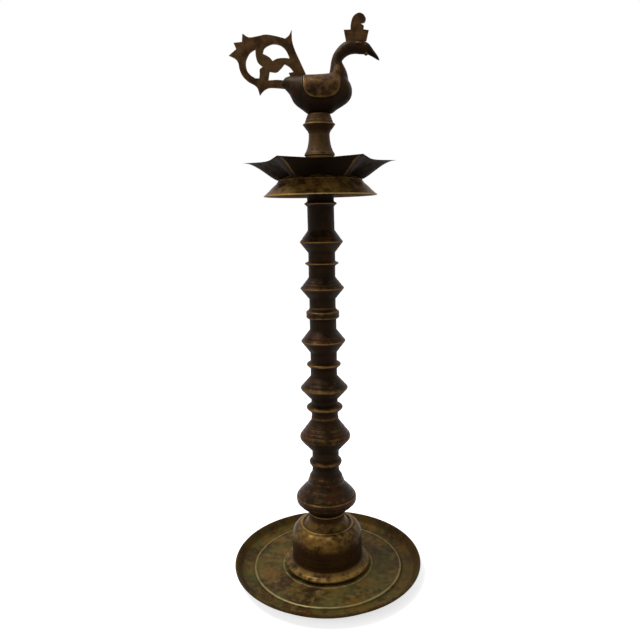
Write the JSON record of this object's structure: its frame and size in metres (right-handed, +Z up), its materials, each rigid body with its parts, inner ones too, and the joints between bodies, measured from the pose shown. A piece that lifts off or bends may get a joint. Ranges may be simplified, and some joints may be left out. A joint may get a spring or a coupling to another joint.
{
  "type": "standing oil lamp",
  "caption": "Tall cast bronze oil lamp: round drip tray, bell pedestal, turned column, drip skirt, spouted oil dish and a bird finial with openwork tail.",
  "frame": {"origin": "centre of the tray's foot ring, on the surface that the lamp stands on", "axes": "+Z up the column, +X the way the bird looks"},
  "size_m": [0.2684, 0.2684, 0.763],
  "materials": {
    "dark_bronze": "old cast bronze, dark brown patina with worn golden edges",
    "worn_bronze": "olive-golden bronze, worn and softly bright",
    "tray_bronze": "brown bronze with green and ochre verdigris"
  },
  "bodies": {
    "base": {"drip_tray": "tray_bronze", "pedestal": "dark_bronze"},
    "lower_section": {"shaft_lower": "dark_bronze"},
    "middle_section": {"shaft_middle": "dark_bronze"},
    "upper_section": {"shaft_upper": "dark_bronze"},
    "dish": {"dish_skirt": "worn_bronze", "oil_dish": "dark_bronze"},
    "finial": {"finial_stem": "dark_bronze", "bird_body": "dark_bronze", "tail_fan": "dark_bronze", "bird_crest": "dark_bronze", "tail_pin_upper": "worn_bronze", "tail_pin_lower": "worn_bronze"}
  },
  "joints": [
    {"name": "lower_lift", "type": "slide", "parent": "base", "child": "lower_section", "axis": [0, 0, 1], "range_m": [0, 0.03]},
    {"name": "middle_lift", "type": "slide", "parent": "lower_section", "child": "middle_section", "axis": [0, 0, 1], "range_m": [0, 0.034]},
    {"name": "upper_lift", "type": "slide", "parent": "middle_section", "child": "upper_section", "axis": [0, 0, 1], "range_m": [0, 0.034]},
    {"name": "dish_lift", "type": "slide", "parent": "upper_section", "child": "dish", "axis": [0, 0, 1], "range_m": [0, 0.04]},
    {"name": "finial_lift", "type": "slide", "parent": "dish", "child": "finial", "axis": [0, 0, 1], "range_m": [0, 0.026]}
  ]
}
